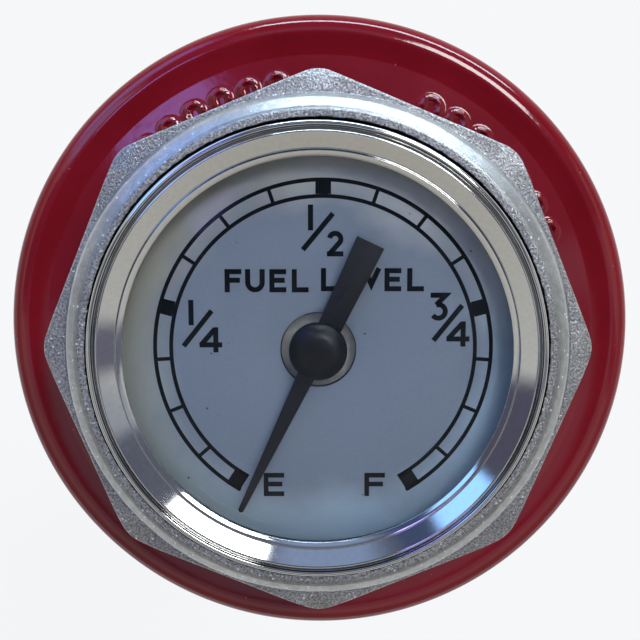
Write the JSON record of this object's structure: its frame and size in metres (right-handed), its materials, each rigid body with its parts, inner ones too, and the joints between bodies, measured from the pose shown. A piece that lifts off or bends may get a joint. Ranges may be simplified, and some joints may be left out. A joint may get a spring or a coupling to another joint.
{
  "type": "fuel gauge",
  "caption": "Direct-reading fuel level gauge: octagonal cast head with a round dial, built into a pressed filler cap, with a float that turns a twisted strip.",
  "frame": {"origin": "on the gauge's axis, in the plane where the cap's gasket meets the rim of the filler neck", "axes": "+Z along the axis out of the dial, +Y towards the top of the dial, +X towards its right"},
  "size_m": [0.0782, 0.0782, 0.2572],
  "materials": {
    "red_paint": "deep glossy red enamel on pressed steel",
    "cast_zinc": "grainy as-cast zinc alloy with a machined shoulder",
    "chrome": "bright plated steel ring",
    "clear_glass": "clear domed glass",
    "dial_enamel": "silver-grey painted dial with black print",
    "pointer_black": "matte charcoal",
    "black_rubber": "fuel-proof rubber",
    "plated_steel": "zinc-plated steel",
    "brass": "bare brass",
    "magnet_grey": "dark sintered magnet",
    "cork": "varnished composition cork"
  },
  "bodies": {
    "head": {"head_body": "cast_zinc", "bezel": "chrome", "lens": "clear_glass", "lens_gasket": "black_rubber", "dial": "dial_enamel", "pivot_pin": "plated_steel", "cap_shell": "red_paint", "spring_disc": "plated_steel", "cap_gasket": "black_rubber", "head_gasket": "black_rubber", "clamp_washer": "plated_steel", "lock_nut": "plated_steel", "upper_bush": "brass", "guide_rod_left": "plated_steel", "guide_rod_right": "plated_steel", "foot_plate": "plated_steel", "rod_nut_left": "plated_steel", "rod_nut_right": "plated_steel", "lower_bush": "brass"},
    "pointer": {"pointer": "pointer_black", "pointer_cup": "plated_steel", "pointer_magnet": "magnet_grey"},
    "spindle": {"twist_strip": "brass", "upper_spindle": "plated_steel", "lower_pivot": "plated_steel", "drive_magnet": "magnet_grey"},
    "float": {"float": "cork", "float_plate_top": "brass", "float_plate_bottom": "brass", "float_rivet_front": "brass", "float_rivet_back": "brass"}
  },
  "joints": [
    {"name": "float_slide", "type": "slide", "parent": "head", "child": "float", "axis": [0, 0, 1], "range_m": [0, 0.176]},
    {"name": "spindle_spin", "type": "hinge", "parent": "head", "child": "spindle", "pos_m": [0, 0, -0.1], "axis": [0, 0, 1], "range_deg": [-304, 0]},
    {"name": "pointer_spin", "type": "hinge", "parent": "head", "child": "pointer", "pos_m": [0, 0, 0.0174], "axis": [0, 0, 1], "range_deg": [-304, 0]}
  ],
  "couplings": [
    {"joint": "spindle_spin", "follows": "float_slide", "rad_per_m": -30.127},
    {"joint": "pointer_spin", "follows": "float_slide", "rad_per_m": -30.127}
  ]
}
